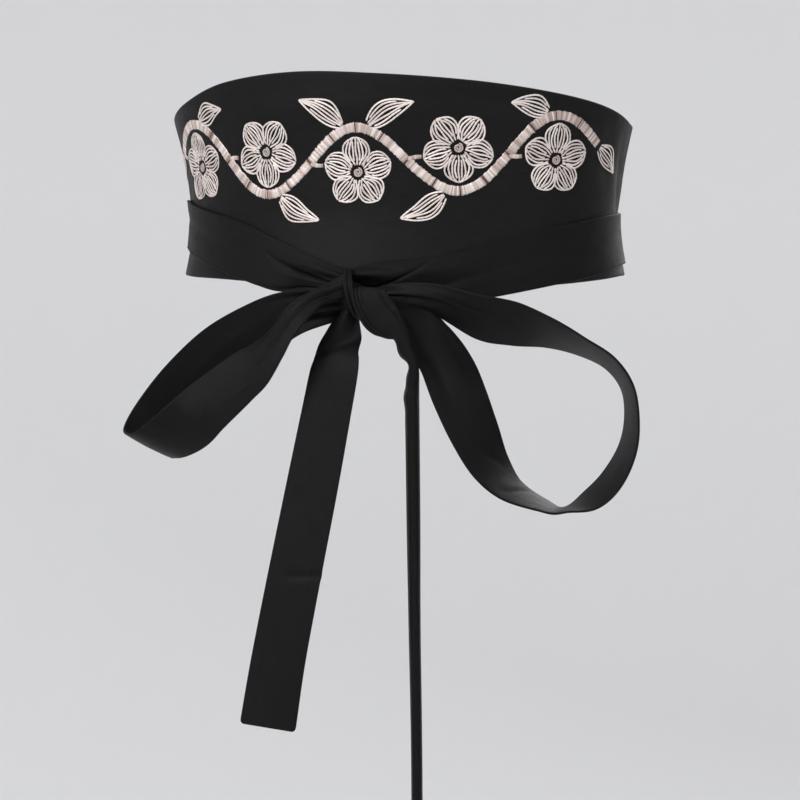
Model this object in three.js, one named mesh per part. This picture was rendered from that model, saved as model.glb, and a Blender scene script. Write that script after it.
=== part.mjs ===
// A hanfu waist sash as it is worn: a wide shaped waist panel, and two long ties that start at the
// panel's back ends, cross behind, come round over its lower part and are tied in a bow in front.
// Millimetres, +Z up, the wearer faces -Y. The origin is the middle of the waist at its narrowest.

import * as THREE from "three";

// ---- driving dimensions ----
const WAIST_HALF_WIDTH = 136.2; // outer face of the panel, at the narrowest level
const WAIST_HALF_DEPTH = 96;
const PANEL_WALL = 2.4; // two layers of satin on a firm interlining
const TIE_WALL = 1.6; // a turned tube, pressed flat
const TIE_WIDTH = 34;
const SEAM_GAP = 0.3; // between pieces that are sewn together
const LIE_GAP = 0.6; // under a tie that only lies on the panel
const BACK_END = 155; // degrees from centre front to each back end of the panel
const TIE_LAP = 10; // degrees of a tie sewn flat on the end of the panel
const FACET = 5; // degrees of each flat strip, on the panel and on what lies on it
const PANEL_ROWS = 7; // rows of facets up the panel
const WRAP_ROWS = 6; // and across a tie that lies on it

// How far the panel's outer face stands out from the waist oval at each height.
const FLARE = [
  { z: -60, out: 7.6 },
  { z: -38, out: 4.6 },
  { z: -20, out: 1.3 },
  { z: -4, out: 0.2 },
  { z: 12, out: 1.6 },
  { z: 30, out: 4 },
  { z: 45, out: 7.5 },
  { z: 60, out: 11.5 },
  { z: 84, out: 14 },
];

// The panel's two long edges. Angles run from centre front, + towards the wearer's left.
const PANEL_EDGES = [
  { angle: -155, top: 47, bottom: -37 },
  { angle: -125, top: 51, bottom: -37 },
  { angle: -95, top: 57, bottom: -37 },
  { angle: -76, top: 61.5, bottom: -37.5 },
  { angle: -58, top: 68.5, bottom: -40 },
  { angle: -38, top: 77.5, bottom: -43 },
  { angle: -15, top: 81, bottom: -48 },
  { angle: 8, top: 78, bottom: -51 },
  { angle: 30, top: 73.6, bottom: -51 },
  { angle: 50, top: 68.2, bottom: -48 },
  { angle: 70, top: 62.2, bottom: -44 },
  { angle: 90, top: 54.6, bottom: -40 },
  { angle: 122, top: 50, bottom: -38 },
  { angle: 155, top: 47, bottom: -37 },
];

// Each tie's way round the waist, from the knot to where it is sewn on at the other back end.
// mid and width are heights on the panel, out is the gap under the tie, pleat the depth of its folds.
const LEFT_WRAP = [
  { angle: -2, mid: -45, width: 14, out: 5.9, pleat: 1.1 },
  { angle: -7, mid: -43, width: 17.5, out: 2.7, pleat: 1.1 },
  { angle: -14, mid: -39, width: 23, out: 0.9, pleat: 0.8 },
  { angle: -22, mid: -35, width: 31, out: LIE_GAP, pleat: 0 },
  { angle: -38, mid: -23, width: 34, out: LIE_GAP, pleat: 0 },
  { angle: -60, mid: -11.5, width: 31.5, out: LIE_GAP, pleat: 0 },
  { angle: -80, mid: -4.5, width: 30.5, out: LIE_GAP, pleat: 0 },
  { angle: -118, mid: -8, width: 31.5, out: LIE_GAP, pleat: 0 },
  { angle: -BACK_END, mid: -14, width: 33, out: LIE_GAP, pleat: 0 },
  { angle: -180, mid: 5, width: 35, out: LIE_GAP, pleat: 0 },
  { angle: BACK_END - 360, mid: 24, width: 34.5, out: SEAM_GAP, pleat: 0 },
  { angle: BACK_END - TIE_LAP - 360, mid: 27, width: 34, out: SEAM_GAP, pleat: 0 },
];
const OVER = LIE_GAP + TIE_WALL + LIE_GAP; // the right tie lies over the left one behind
const RIGHT_WRAP = [
  { angle: 1, mid: -43.5, width: 16, out: 3.7, pleat: 1.1 },
  { angle: 9, mid: -44, width: 21, out: 2.2, pleat: 1.1 },
  { angle: 17, mid: -44.8, width: 26, out: 0.9, pleat: 0.9 },
  { angle: 25, mid: -43.6, width: 29.7, out: 0.7, pleat: 0.4 },
  { angle: 33, mid: -39.5, width: 33, out: LIE_GAP, pleat: 0 },
  { angle: 52, mid: -30.6, width: 34.5, out: LIE_GAP, pleat: 0 },
  { angle: 67, mid: -24.8, width: 34.4, out: LIE_GAP, pleat: 0 },
  { angle: 85, mid: -18.1, width: 31.8, out: LIE_GAP, pleat: 0 },
  { angle: 118, mid: -14, width: 31.5, out: LIE_GAP, pleat: 0 },
  { angle: BACK_END - 6, mid: -15, width: 33, out: LIE_GAP, pleat: 0 },
  { angle: BACK_END + 1, mid: -12, width: 33.5, out: OVER, pleat: 0 },
  { angle: 180, mid: 5, width: 35, out: OVER, pleat: 0 },
  { angle: 359 - BACK_END, mid: 23, width: 34.5, out: OVER, pleat: 0 },
  { angle: 366 - BACK_END, mid: 26, width: 34, out: SEAM_GAP, pleat: 0 },
  { angle: 360 - BACK_END + TIE_LAP, mid: 27, width: 34, out: SEAM_GAP, pleat: 0 },
];

// Free stretches of the ties. x, y, z is the middle of the ribbon; lean turns its width from the
// wearer's left (0) up (90), turn brings that edge forward; pleat is the depth of its folds.
const LOOP_LEFT = [
  { x: -7.6, y: -114.9, z: -58.4, lean: 102, turn: 22, width: 19, pleat: 1.4 },
  { x: -35, y: -115, z: -64.5, lean: 131, turn: 25, width: 29, pleat: 0.8 },
  { x: -58.2, y: -114.4, z: -74.9, lean: 145, turn: 14, width: TIE_WIDTH, pleat: 0 },
  { x: -82.4, y: -112, z: -87.7, lean: 147, turn: 14, width: TIE_WIDTH, pleat: 0 },
  { x: -105, y: -110, z: -107.3, lean: 151, turn: 15, width: TIE_WIDTH, pleat: 0 },
  { x: -120.6, y: -112, z: -127, lean: 152, turn: 20, width: TIE_WIDTH, pleat: 0 },
  { x: -125.2, y: -122.5, z: -141.8, lean: 148, turn: 30, width: TIE_WIDTH, pleat: 0 },
  { x: -115.3, y: -132.5, z: -143.3, lean: 145, turn: 41, width: TIE_WIDTH, pleat: 0 },
  { x: -97, y: -137, z: -133.5, lean: 138, turn: 22, width: TIE_WIDTH, pleat: 0 },
  { x: -83, y: -137.5, z: -121.5, lean: 134, turn: -4, width: TIE_WIDTH, pleat: 0 },
  { x: -62.5, y: -137.5, z: -105, lean: 137, turn: -20, width: TIE_WIDTH, pleat: 0 },
  { x: -51.5, y: -138.5, z: -97, lean: 139, turn: -30, width: TIE_WIDTH, pleat: 0 },
  { x: -41, y: -138.5, z: -85.5, lean: 143, turn: -39, width: 28, pleat: 0.4 },
  { x: -34.5, y: -138, z: -76, lean: 145, turn: -40, width: 23, pleat: 0.6 },
  { x: -26, y: -136.5, z: -64.5, lean: 143, turn: -37, width: 21, pleat: 0.8 },
  { x: -16.5, y: -131.5, z: -56.4, lean: 127, turn: -32, width: 12.5, pleat: 1 },
  { x: -8.2, y: -126.6, z: -52.3, lean: 107, turn: -20, width: 10.5, pleat: 1 },
  { x: -1.4, y: -126.4, z: -49.4, lean: 97, turn: -12, width: 12, pleat: 1 },
];
const LOOP_RIGHT = [
  { x: 20.3, y: -114.5, z: -55.5, lean: 88, turn: 20, width: 9, pleat: 1.8 },
  { x: 37, y: -113, z: -56, lean: 80, turn: 36, width: 13.5, pleat: 1.4 },
  { x: 55, y: -110, z: -59.5, lean: 70, turn: 39, width: 22.5, pleat: 0.6 },
  { x: 79, y: -106, z: -68, lean: 66, turn: 34, width: 33, pleat: 0 },
  { x: 97, y: -102, z: -71.6, lean: 64, turn: 37, width: TIE_WIDTH, pleat: 0 },
  { x: 115.9, y: -98.1, z: -76.6, lean: 52, turn: 52, width: TIE_WIDTH, pleat: 0 },
  { x: 134.8, y: -92, z: -84.6, lean: 36, turn: 63, width: TIE_WIDTH, pleat: 0 },
  { x: 151.7, y: -86.8, z: -94.5, lean: 23, turn: 66, width: TIE_WIDTH, pleat: 0 },
  { x: 162, y: -84.7, z: -108.9, lean: 9, turn: 66, width: TIE_WIDTH, pleat: 0 },
  { x: 164.6, y: -83.9, z: -127, lean: -5, turn: 64, width: TIE_WIDTH, pleat: 0 },
  { x: 162, y: -84.8, z: -146.1, lean: -18, turn: 60, width: TIE_WIDTH, pleat: 0 },
  { x: 153, y: -87, z: -164, lean: -30, turn: 57, width: TIE_WIDTH, pleat: 0 },
  { x: 141, y: -91, z: -176, lean: -38, turn: 62, width: TIE_WIDTH, pleat: 0 },
  { x: 126, y: -95.6, z: -181.7, lean: -60, turn: 86, width: TIE_WIDTH, pleat: 0 },
  { x: 113.6, y: -99.2, z: -178.4, lean: 246, turn: 84, width: TIE_WIDTH, pleat: 0 },
  { x: 95.6, y: -104.4, z: -168.8, lean: 226, turn: 72, width: TIE_WIDTH, pleat: 0 },
  { x: 84, y: -107, z: -155, lean: 219, turn: 58, width: TIE_WIDTH, pleat: 0 },
  { x: 75, y: -110, z: -135, lean: 214, turn: 42, width: TIE_WIDTH, pleat: 0 },
  { x: 67, y: -112, z: -115, lean: 212, turn: 33, width: TIE_WIDTH, pleat: 0 },
  { x: 58.2, y: -108.9, z: -96.2, lean: 211, turn: 39, width: TIE_WIDTH, pleat: 0 },
  { x: 47.2, y: -108.6, z: -80, lean: 203, turn: 40, width: 30, pleat: 0.6 },
  { x: 38.5, y: -109.5, z: -66, lean: 208, turn: 42, width: 20, pleat: 1.4 },
  { x: 25, y: -116.5, z: -61.5, lean: 216, turn: 30, width: 12, pleat: 1.6 },
];
const TAIL_LEFT = [
  { x: 0.3, y: -117.3, z: -67.2, lean: 0, turn: -12, width: 12, pleat: 1.2 },
  { x: -2.6, y: -118.5, z: -77, lean: -3, turn: 8, width: 22.5, pleat: 1 },
  { x: -5.7, y: -122.5, z: -88, lean: -5, turn: 16, width: 29.6, pleat: 0.4 },
  { x: -6.5, y: -126, z: -100, lean: -6, turn: 17, width: TIE_WIDTH, pleat: 0 },
  { x: -10, y: -130, z: -124, lean: -8, turn: 14, width: TIE_WIDTH, pleat: 0 },
  { x: -17, y: -136, z: -168, lean: -8, turn: 9, width: TIE_WIDTH, pleat: 0 },
  { x: -26, y: -143, z: -222, lean: -9, turn: 6, width: TIE_WIDTH, pleat: 0 },
  { x: -34, y: -148, z: -270, lean: -9, turn: 3, width: TIE_WIDTH, pleat: 0 },
  { x: -39.2, y: -152.2, z: -309.2, lean: -9, turn: -4, width: TIE_WIDTH, pleat: 0 },
];
// fold is how far the middle of this tail stands in front of its two edges, folded lengthwise.
const TAIL_RIGHT = [
  { x: 14.9, y: -128.9, z: -51.8, lean: -3, turn: -14, width: 19.5, fold: 1 },
  { x: 17.9, y: -129.2, z: -59.5, lean: 12, turn: -16, width: 21, fold: 1.6 },
  { x: 23.2, y: -128.7, z: -67.9, lean: 17, turn: -15, width: 22, fold: 2.2 },
  { x: 28.7, y: -126.8, z: -72.4, lean: 11, turn: -15, width: 17.5, fold: 3.5 },
  { x: 33.7, y: -123.9, z: -77.6, lean: 10, turn: -15, width: 10, fold: 6 },
  { x: 36.4, y: -122.2, z: -86, lean: 16, turn: -15, width: 6.8, fold: 7.5 },
  { x: 39.8, y: -121.3, z: -93, lean: 6, turn: -16, width: 4.8, fold: 8 },
  { x: 40.9, y: -120, z: -101, lean: 0, turn: -16, width: 4.8, fold: 9 },
  { x: 38.6, y: -116.5, z: -111, lean: 0, turn: -16, width: 7.4, fold: 13 },
  { x: 38.8, y: -115.5, z: -128, lean: 0, turn: -16, width: 6.8, fold: 14 },
  { x: 40.1, y: -117.5, z: -190, lean: 0, turn: -16, width: 6.8, fold: 14 },
  { x: 41.5, y: -120.1, z: -250, lean: 0, turn: -16, width: 5.8, fold: 14.5 },
  { x: 43.4, y: -122.6, z: -318, lean: 0, turn: -16, width: 5.3, fold: 15 },
  { x: 44.4, y: -124.6, z: -385, lean: 0, turn: -16, width: 5.3, fold: 15 },
];
// The cloth that wraps the knot: from behind its top, down its front, and under.
const KNOT_BAND = [
  { x: -2.7, y: -108.5, z: -39.2, lean: 4, turn: -16, width: 4.6, pleat: 0 },
  { x: 0.2, y: -118, z: -41.1, lean: 4, turn: -16, width: 5, pleat: 0.2 },
  { x: 2.4, y: -125.2, z: -45.6, lean: 0, turn: -16, width: 5.4, pleat: 0.3 },
  { x: 3.5, y: -128.3, z: -51, lean: -4, turn: -16, width: 5.6, pleat: 0.4 },
  { x: 4.7, y: -129.3, z: -56.7, lean: 8, turn: -16, width: 5.8, pleat: 0.4 },
  { x: 6, y: -128.5, z: -61.7, lean: 18, turn: -16, width: 5.8, pleat: 0.4 },
  { x: 6.7, y: -126, z: -65.8, lean: 26, turn: -16, width: 5.4, pleat: 0.4 },
  { x: 7, y: -122.8, z: -68.6, lean: 30, turn: -16, width: 5, pleat: 0.3 },
];
const KNOT_CENTRE = new THREE.Vector3(7, -117, -55.8);
const KNOT_HALF = new THREE.Vector3(13.5, 9.5, 12.4);

// ---- finishes ----
const SASH_CLOTH = new THREE.MeshStandardMaterial({ color: 0x1b1b1d, roughness: 0.62, metalness: 0 });

// ---- geometry ----

// The columns of a table at a place u along it, on a smooth curve through all its rows.
function at(rows, u) {
  const i = Math.min(Math.floor(u), rows.length - 2);
  const f = u - i;
  const [b, c] = [rows[i], rows[i + 1]];
  const values = {};
  for (const key of Object.keys(b)) {
    const a = i > 0 ? rows[i - 1][key] : 2 * b[key] - c[key];
    const d = i + 2 < rows.length ? rows[i + 2][key] : 2 * c[key] - b[key];
    const cubic = 3 * b[key] - a - 3 * c[key] + d;
    const square = 2 * a - 5 * b[key] + 4 * c[key] - d;
    values[key] = b[key] + (f * (c[key] - a) + f * f * square + f * f * f * cubic) / 2;
  }
  return values;
}

// The columns where one of them has a given value: rows hold rising (or falling) values of key.
function where(rows, key, value) {
  const sign = Math.sign(rows.at(-1)[key] - rows[0][key]);
  let i = 0;
  while (i < rows.length - 2 && sign * rows[i + 1][key] < sign * value) i += 1;
  return at(rows, i + (value - rows[i][key]) / (rows[i + 1][key] - rows[i][key]));
}

// A point near the waist: round to an angle, at a height, out from the panel's outer face.
function waistPoint(angle, z, out) {
  const turn = THREE.MathUtils.degToRad(angle);
  const [side, front] = [Math.sin(turn), Math.cos(turn)];
  const away = new THREE.Vector3(side / WAIST_HALF_WIDTH, -front / WAIST_HALF_DEPTH, 0).normalize();
  const oval = new THREE.Vector3(WAIST_HALF_WIDTH * side, -WAIST_HALF_DEPTH * front, z);
  return oval.addScaledVector(away, where(FLARE, "z", z).out + out);
}

// One closed wall between two grids of points. face(u, v) and back(u, v) give a point of each, with
// u along the piece and v across it, both from 0 to 1, and the face outwards.
function wall(along, across, face, back) {
  const positions = [];
  const index = [];
  const columns = across + 1;
  for (const side of [face, back]) {
    for (let i = 0; i <= along; i += 1) {
      for (let j = 0; j <= across; j += 1) positions.push(...side(i / along, j / across).toArray());
    }
  }
  const behind = (along + 1) * columns;
  const quad = (a, b, c, d) => index.push(a, b, c, a, c, d);
  for (let i = 0; i < along; i += 1) {
    for (let j = 0; j < across; j += 1) {
      const a = i * columns + j;
      quad(a, a + columns, a + columns + 1, a + 1);
      quad(behind + a, behind + a + 1, behind + a + columns + 1, behind + a + columns);
    }
    const left = i * columns;
    const right = left + across;
    quad(left, behind + left, behind + left + columns, left + columns);
    quad(right, right + columns, behind + right + columns, behind + right);
  }
  for (let j = 0; j < across; j += 1) {
    const last = along * columns + j;
    quad(j, j + 1, behind + j + 1, behind + j);
    quad(last, behind + last, behind + last + 1, last + 1);
  }
  const geometry = new THREE.BufferGeometry();
  geometry.setAttribute("position", new THREE.Float32BufferAttribute(positions, 3));
  geometry.setIndex(index);
  return geometry;
}

// The waist panel: a wall that follows the oval from one back end to the other.
function panelGeometry() {
  const point = (u, v, out) => {
    const angle = BACK_END * (2 * u - 1);
    const { top, bottom } = where(PANEL_EDGES, "angle", angle);
    return waistPoint(angle, bottom + (top - bottom) * v, out);
  };
  return wall(
    (2 * BACK_END) / FACET,
    PANEL_ROWS,
    (u, v) => point(u, v, 0),
    (u, v) => point(u, v, -PANEL_WALL),
  );
}

// A tie on the panel: the panel's own points moved out, with soft pleats where it is drawn together.
// Its facets are counted from the sewn end, to match the panel's, and the last is cut at the knot.
function wrapGeometry(rows, pleats) {
  const [first, last] = [rows[0].angle, rows.at(-1).angle];
  const way = Math.sign(last - first);
  const along = Math.ceil(Math.abs(last - first) / FACET);
  const point = (u, v, lift) => {
    const angle = u > 0 ? last - way * FACET * along * (1 - u) : first;
    const { mid, width, out, pleat } = where(rows, "angle", angle);
    const height = mid + way * width * (v - 0.5);
    const fold = (pleat * (1 - Math.cos(2 * Math.PI * pleats * v))) / 2;
    return waistPoint(angle, height, out + fold + lift);
  };
  return wall(
    along,
    WRAP_ROWS,
    (u, v) => point(u, v, TIE_WALL),
    (u, v) => point(u, v, 0),
  );
}

// A free stretch of tie: a ribbon carried along its rows. section(row, v) says how far each point
// across it lies from its middle, as a share of its width, and how far it stands out of its plane.
function ribbonGeometry(rows, along, across, section) {
  const aims = rows.map((row) => {
    const lean = THREE.MathUtils.degToRad(row.lean);
    const turn = THREE.MathUtils.degToRad(row.turn);
    const flat = Math.cos(turn);
    return { ...row, ax: flat * Math.cos(lean), ay: -Math.sin(turn), az: flat * Math.sin(lean) };
  });
  const step = 0.002;
  const centre = (u) => {
    const { x, y, z } = at(aims, u * (aims.length - 1));
    return new THREE.Vector3(x, y, z);
  };
  const slope = (curve, u) => curve(Math.min(u + step, 1)).sub(curve(Math.max(u - step, 0))).normalize();
  const middle = (u, v) => {
    const row = at(aims, u * (aims.length - 1));
    const way = slope(centre, u);
    const aim = new THREE.Vector3(row.ax, row.ay, row.az);
    aim.addScaledVector(way, -aim.dot(way)).normalize();
    const normal = new THREE.Vector3().crossVectors(way, aim);
    const [share, out] = section(row, v);
    return centre(u)
      .addScaledVector(aim, row.width * share)
      .addScaledVector(normal, out);
  };
  const point = (u, v, lift) => {
    const along = slope((t) => middle(t, v), u);
    const across = slope((t) => middle(u, t), v);
    return middle(u, v).addScaledVector(along.cross(across).normalize(), lift);
  };
  return wall(
    along,
    across,
    (u, v) => point(u, v, TIE_WALL / 2),
    (u, v) => point(u, v, -TIE_WALL / 2),
  );
}

// Sections: a number of soft pleats, or one fold lengthwise whose two legs lie side by side.
const pleated = (count) => (row, v) => [v - 0.5, (row.pleat * Math.cos(2 * Math.PI * count * v)) / 2];
function foldedLengthwise(row, v) {
  const [side, deep] = [Math.cos(Math.PI * v), Math.sin(Math.PI * v)];
  return [(-Math.sign(side) * Math.sqrt(Math.abs(side))) / 2, row.fold * Math.sqrt(Math.abs(deep))];
}

// ---- assembly ----
const sash = new THREE.Group();

function add(name, geometry, material) {
  const mesh = new THREE.Mesh(geometry, material);
  mesh.name = name;
  sash.add(mesh);
  return mesh;
}

add("waist_panel", panelGeometry(), SASH_CLOTH);
add("tie_left_wrap", wrapGeometry(LEFT_WRAP, 2), SASH_CLOTH);
add("tie_right_wrap", wrapGeometry(RIGHT_WRAP, 2), SASH_CLOTH);
add("bow_loop_left", ribbonGeometry(LOOP_LEFT, 40, 8, pleated(2)), SASH_CLOTH);
add("bow_loop_right", ribbonGeometry(LOOP_RIGHT, 46, 8, pleated(2)), SASH_CLOTH);
add("tail_left", ribbonGeometry(TAIL_LEFT, 20, 6, pleated(1)), SASH_CLOTH);
add("tail_right", ribbonGeometry(TAIL_RIGHT, 26, 8, foldedLengthwise), SASH_CLOTH);
add("knot_band", ribbonGeometry(KNOT_BAND, 12, 6, pleated(1)), SASH_CLOTH);
const knot = add("knot", new THREE.SphereGeometry(1, 18, 12), SASH_CLOTH);
knot.scale.copy(KNOT_HALF);
knot.position.copy(KNOT_CENTRE);

export default sash;
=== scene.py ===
import math

import bpy
import numpy as np
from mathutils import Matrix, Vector


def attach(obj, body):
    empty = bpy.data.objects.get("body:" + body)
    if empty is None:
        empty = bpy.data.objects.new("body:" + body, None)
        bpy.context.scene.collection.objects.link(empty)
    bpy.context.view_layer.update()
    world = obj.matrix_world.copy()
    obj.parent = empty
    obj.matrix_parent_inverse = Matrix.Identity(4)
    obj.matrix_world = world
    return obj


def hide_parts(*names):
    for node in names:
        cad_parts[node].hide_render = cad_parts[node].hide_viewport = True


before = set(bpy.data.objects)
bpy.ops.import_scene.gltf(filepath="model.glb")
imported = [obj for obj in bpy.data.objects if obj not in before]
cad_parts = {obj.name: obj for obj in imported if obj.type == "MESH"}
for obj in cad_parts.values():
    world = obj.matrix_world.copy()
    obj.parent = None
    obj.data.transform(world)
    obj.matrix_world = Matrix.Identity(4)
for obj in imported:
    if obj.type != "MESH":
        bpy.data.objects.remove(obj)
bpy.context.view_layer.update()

# ---- waist panel ----
# The body of the sash: two layers of black satin on a firm interlining, turned right side out and pressed,
# with plain edges. It is cut as one shaped band, narrowest at the waist, and lies round the wearer as an
# open ring whose two ends stay apart at the back.
WAIST_HALF_WIDTH = 0.1362
WAIST_HALF_DEPTH = 0.096
PANEL_WALL = 0.0024
BACK_END = 155  # degrees from centre front
PANEL_FLAT = (0.13, 0.68)
PANEL_STEP = 0.0018

# height, how far the panel's outer face stands out from the waist oval
FLARE = np.array([
    (-0.060, 0.0076), (-0.038, 0.0046), (-0.020, 0.0013), (-0.004, 0.0002), (0.012, 0.0016),
    (0.030, 0.0040), (0.045, 0.0075), (0.060, 0.0115), (0.084, 0.0140),
])

# angle from centre front, top edge, bottom edge
PANEL_EDGES = np.array([
    (-155, 0.0470, -0.0370), (-125, 0.0510, -0.0370), (-95, 0.0570, -0.0370), (-76, 0.0615, -0.0375),
    (-58, 0.0685, -0.0400), (-38, 0.0775, -0.0430), (-15, 0.0810, -0.0480), (8, 0.0780, -0.0510),
    (30, 0.0736, -0.0510), (50, 0.0682, -0.0480), (70, 0.0622, -0.0440), (90, 0.0546, -0.0400),
    (122, 0.0500, -0.0380), (155, 0.0470, -0.0370),
])

# Where the wearer's movement has creased the panel: from angle, height, to angle, height, depth, half width.
# A negative depth is a ridge.
PANEL_CREASES = [
    (8, 0.0650, 78, 0.0560, 0.0012, 0.0055), (20, 0.0745, 72, 0.0660, -0.0007, 0.0050),
    (-86, 0.0600, -87, -0.0200, 0.0013, 0.0050), (-94, 0.0640, -91, -0.0150, -0.0011, 0.0030),
    (-66, 0.0500, -72, -0.0100, 0.0006, 0.0070), (86, 0.0500, 93, -0.0100, 0.0009, 0.0050),
    (95, 0.0560, 99, 0.0000, -0.0009, 0.0040), (74, 0.0500, 79, 0.0100, 0.0006, 0.0060),
    (-60, 0.0620, -12, 0.0700, 0.0005, 0.0060), (-128, 0.0480, -122, -0.0200, 0.0011, 0.0060),
    (-112, 0.0550, -106, -0.0100, -0.0008, 0.0050), (118, 0.0500, 126, -0.0150, 0.0012, 0.0055),
    (140, 0.0400, 134, -0.0250, -0.0008, 0.0045), (-143, 0.0380, -140, -0.0300, 0.0008, 0.0050),
]


def along(rows, u):
    """The columns of a table at places u, counted in rows, on a smooth cubic through every row."""
    first, last = 2 * rows[:1] - rows[1:2], 2 * rows[-1:] - rows[-2:-1]
    padded = np.concatenate([first, rows, last])
    u = np.asarray(u, float)
    i = np.clip(np.floor(u).astype(int), 0, len(rows) - 2)
    f = (u - i)[..., None]
    a, b, c, d = (padded[i + k] for k in range(4))
    return b + (f * (c - a) + f**2 * (2 * a - 5 * b + 4 * c - d) + f**3 * (3 * b - a - 3 * c + d)) / 2


def at_key(rows, value):
    """The columns of a table where its first column, which only rises, has a value."""
    return along(rows, np.interp(value, rows[:, 0], np.arange(len(rows))))


def waist_point(angle, height, out):
    """Points round the waist: on the oval at an angle, then out along its normal by the flare and out."""
    turn = np.radians(angle)
    side, front = np.sin(turn), np.cos(turn)
    normal = np.stack([side / WAIST_HALF_WIDTH, -front / WAIST_HALF_DEPTH, 0 * side], -1)
    normal /= np.linalg.norm(normal, axis=-1, keepdims=True)
    oval = np.stack([WAIST_HALF_WIDTH * side, -WAIST_HALF_DEPTH * front, height], -1)
    return oval + normal * (at_key(FLARE, height)[..., 1] + out)[..., None]


def normals(grid):
    """The unit normal of a grid of points, from its slopes along and across."""
    cross = np.cross(np.gradient(grid, axis=0), np.gradient(grid, axis=1))
    return cross / np.maximum(np.linalg.norm(cross, axis=-1, keepdims=True), 1e-12)


def creased(s, t, lines):
    """How far cloth stands out at places s, t on it. Each line is a soft trough: a bell across the line
    times a half sine along it, so that it fades away at both ends."""
    lift = np.zeros(np.broadcast(s, t).shape)
    for s0, t0, s1, t1, depth, half_width in lines:
        run = np.array([s1 - s0, t1 - t0])
        share = ((s - s0) * run[0] + (t - t0) * run[1]) / (run @ run)
        beside = ((t - t0) * run[0] - (s - s0) * run[1]) / np.sqrt(run @ run)
        lift -= depth * np.exp(-((beside / half_width) ** 2)) * np.sin(np.pi * np.clip(share, 0, 1)) ** 0.7
    return lift


def edged(length, step, wall):
    """Places along a length: close together near both edges, where the cloth turns over, even between."""
    turn = wall * np.array([0, 0.04, 0.14, 0.3, 0.55, 0.9])
    count = max(2, round((length - 2 * turn[-1]) / step))
    between = np.linspace(turn[-1], length - turn[-1], count + 1)[1:-1]
    return np.concatenate([turn, between, length - turn[::-1]])


def half_round(distance, wall):
    """Half the thickness of a wall at a distance in from its edge, which is a half circle."""
    return wall / 2 * np.sqrt(1 - (1 - np.clip(2 * distance / wall, 0, 1)) ** 2)


def cloth(name, middle, half, s, t):
    """A closed piece of cloth: its middle surface moved out both ways by half its thickness, which is
    nothing all round its border. s and t are the places on the flat cloth, kept as its UV map in metres."""
    n, m = middle.shape[:2]
    offset = normals(middle) * half[..., None]
    points = np.concatenate([(middle + offset).reshape(-1, 3), (middle - offset).reshape(-1, 3)])
    front = np.arange(n * m).reshape(n, m)
    back = front + n * m
    back[0], back[-1], back[:, 0], back[:, -1] = front[0], front[-1], front[:, 0], front[:, -1]

    def quads(g):
        return np.stack([g[:-1, :-1], g[1:, :-1], g[1:, 1:], g[:-1, 1:]], -1).reshape(-1, 4)

    faces = np.concatenate([quads(front), quads(back)[:, ::-1]])
    used, faces = np.unique(faces, return_inverse=True)
    faces = faces.reshape(-1, 4)
    mesh = bpy.data.meshes.new(name)
    mesh.from_pydata(points[used], [], faces.tolist())
    flat = np.stack(np.broadcast_arrays(s, t), -1).reshape(-1, 2)
    flat = np.concatenate([flat, flat])[used]
    uv = mesh.uv_layers.new(name="cloth")
    uv.data.foreach_set("uv", flat[faces.ravel()].astype(np.float32).ravel())
    mesh.shade_smooth()
    piece = bpy.data.objects.new(name, mesh)
    bpy.context.scene.collection.objects.link(piece)
    return piece


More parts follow.
